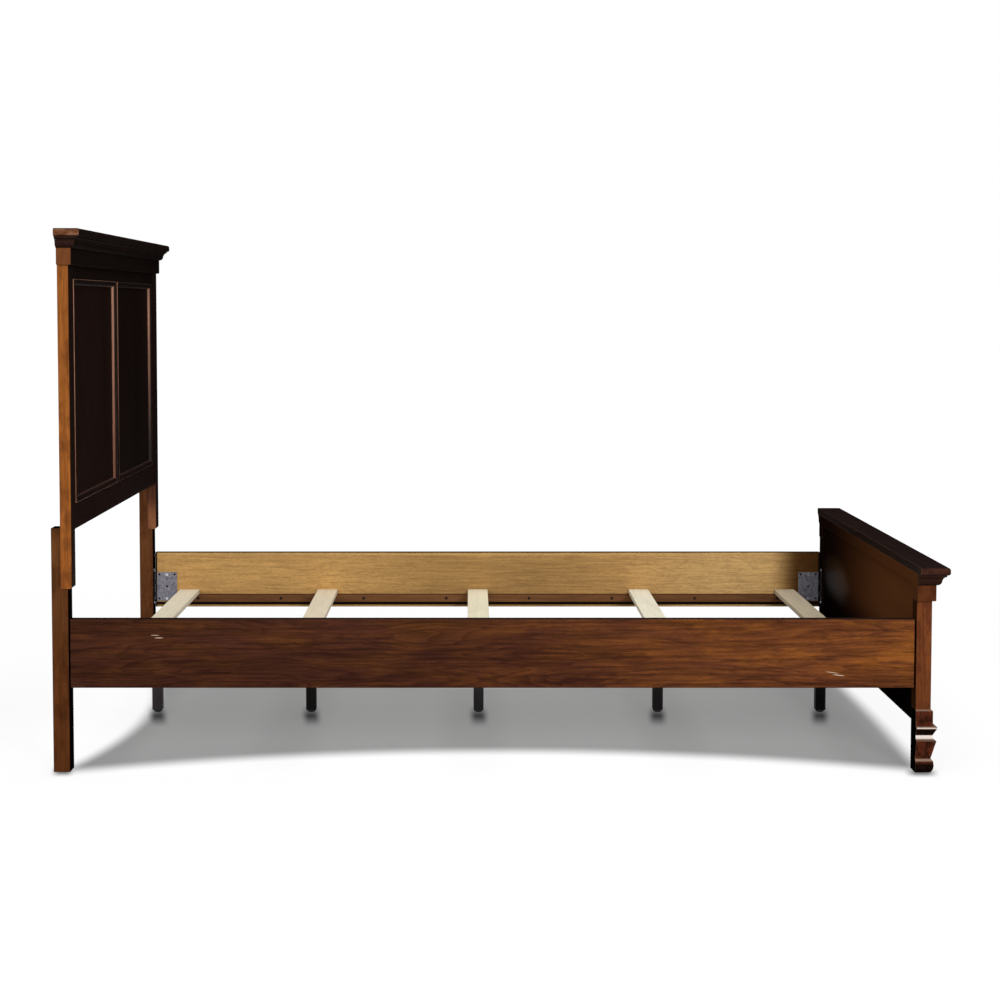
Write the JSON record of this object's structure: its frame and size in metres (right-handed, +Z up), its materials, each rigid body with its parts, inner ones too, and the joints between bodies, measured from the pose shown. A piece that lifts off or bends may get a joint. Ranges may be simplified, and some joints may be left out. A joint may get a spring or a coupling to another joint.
{
  "type": "bed frame",
  "caption": "Dark wooden panel bed with a tall moulded headboard, a low footboard, hooked side rails and loose slats on centre support legs with screw-out glides.",
  "frame": {"origin": "centre of the overall box, on the floor", "axes": "+X from the headboard to the footboard, +Y to the left of someone lying in the bed, +Z up"},
  "size_m": [2.035, 1.111, 1.238],
  "materials": {
    "frame_wood": "dark stained, satin lacquer",
    "rail_wood": "dark stained with a flame grain, satin lacquer",
    "cleat_wood": "reddish brown stain, unpolished",
    "slat_pine": "bare sanded pine",
    "support_black": "black paint with a slight sheen",
    "dowel_beech": "bare beech",
    "plate_steel": "zinc plated, dull",
    "fastener_steel": "zinc plated",
    "insert_brass": "bare",
    "glide_plastic": "moulded, matt",
    "stem_steel": "zinc plated"
  },
  "bodies": {
    "frame": {"headboard_cap": "frame_wood", "headboard_crown": "frame_wood", "headboard_frieze": "frame_wood", "headboard_top_rail": "frame_wood", "headboard_bottom_rail": "frame_wood", "headboard_mullion": "frame_wood", "headboard_stiles": "frame_wood", "headboard_panel_left": "frame_wood", "headboard_panel_right": "frame_wood", "headboard_bead_left": "frame_wood", "headboard_bead_right": "frame_wood", "headboard_post_left": "frame_wood", "headboard_post_right": "frame_wood", "headboard_leg_left": "frame_wood", "headboard_leg_right": "frame_wood", "footboard_cap": "frame_wood", "footboard_crown": "frame_wood", "footboard_frieze": "frame_wood", "footboard_inner_panel": "frame_wood", "footboard_top_rail": "frame_wood", "footboard_bottom_rail": "frame_wood", "footboard_mullion": "frame_wood", "footboard_bead_left": "frame_wood", "footboard_bead_right": "frame_wood", "footboard_post_left": "frame_wood", "footboard_post_right": "frame_wood", "footboard_foot_left": "frame_wood", "footboard_foot_right": "frame_wood", "side_rail_left": "rail_wood", "side_rail_right": "rail_wood", "slat_cleat_left": "cleat_wood", "slat_cleat_right": "cleat_wood", "slat_1": "slat_pine", "slat_2": "slat_pine", "slat_3": "slat_pine", "slat_4": "slat_pine", "slat_5": "slat_pine", "support_leg_1": "support_black", "support_leg_2": "support_black", "support_leg_3": "support_black", "support_leg_4": "support_black", "support_leg_5": "support_black", "frame_dowels": "dowel_beech", "rail_hook_plates": "plate_steel", "keeper_plates": "plate_steel", "bracket_screws": "fastener_steel", "cleat_screws": "fastener_steel", "headboard_leg_bolts": "fastener_steel", "support_leg_bolts": "fastener_steel", "support_leg_inserts": "insert_brass"},
    "glide_1": {"glide_pad_1": "glide_plastic"},
    "stem_1": {"glide_stem_1": "stem_steel"},
    "glide_2": {"glide_pad_2": "glide_plastic"},
    "stem_2": {"glide_stem_2": "stem_steel"},
    "glide_3": {"glide_pad_3": "glide_plastic"},
    "stem_3": {"glide_stem_3": "stem_steel"},
    "glide_4": {"glide_pad_4": "glide_plastic"},
    "stem_4": {"glide_stem_4": "stem_steel"},
    "glide_5": {"glide_pad_5": "glide_plastic"},
    "stem_5": {"glide_stem_5": "stem_steel"}
  },
  "joints": [
    {"name": "glide_1_slide", "type": "slide", "parent": "frame", "child": "glide_1", "axis": [0, 0, -1], "range_m": [0, 0.011]},
    {"name": "stem_1_turn", "type": "hinge", "parent": "glide_1", "child": "stem_1", "pos_m": [-0.87671, 0, 0.02], "axis": [0, 0, -1], "range_deg": [0, 3170]},
    {"name": "glide_2_slide", "type": "slide", "parent": "frame", "child": "glide_2", "axis": [0, 0, -1], "range_m": [0, 0.011]},
    {"name": "stem_2_turn", "type": "hinge", "parent": "glide_2", "child": "stem_2", "pos_m": [-0.4777, 0, 0.02], "axis": [0, 0, -1], "range_deg": [0, 3170]},
    {"name": "glide_3_slide", "type": "slide", "parent": "frame", "child": "glide_3", "axis": [0, 0, -1], "range_m": [0, 0.011]},
    {"name": "stem_3_turn", "type": "hinge", "parent": "glide_3", "child": "stem_3", "pos_m": [-0.04333, 0, 0.02], "axis": [0, 0, -1], "range_deg": [0, 3170]},
    {"name": "glide_4_slide", "type": "slide", "parent": "frame", "child": "glide_4", "axis": [0, 0, -1], "range_m": [0, 0.011]},
    {"name": "stem_4_turn", "type": "hinge", "parent": "glide_4", "child": "stem_4", "pos_m": [0.42179, 0, 0.02], "axis": [0, 0, -1], "range_deg": [0, 3170]},
    {"name": "glide_5_slide", "type": "slide", "parent": "frame", "child": "glide_5", "axis": [0, 0, -1], "range_m": [0, 0.011]},
    {"name": "stem_5_turn", "type": "hinge", "parent": "glide_5", "child": "stem_5", "pos_m": [0.84386, 0, 0.02], "axis": [0, 0, -1], "range_deg": [0, 3170]}
  ],
  "couplings": [
    {"joint": "stem_1_turn", "follows": "glide_1_slide", "rad_per_m": 5026.5},
    {"joint": "stem_2_turn", "follows": "glide_2_slide", "rad_per_m": 5026.5},
    {"joint": "stem_3_turn", "follows": "glide_3_slide", "rad_per_m": 5026.5},
    {"joint": "stem_4_turn", "follows": "glide_4_slide", "rad_per_m": 5026.5},
    {"joint": "stem_5_turn", "follows": "glide_5_slide", "rad_per_m": 5026.5}
  ]
}
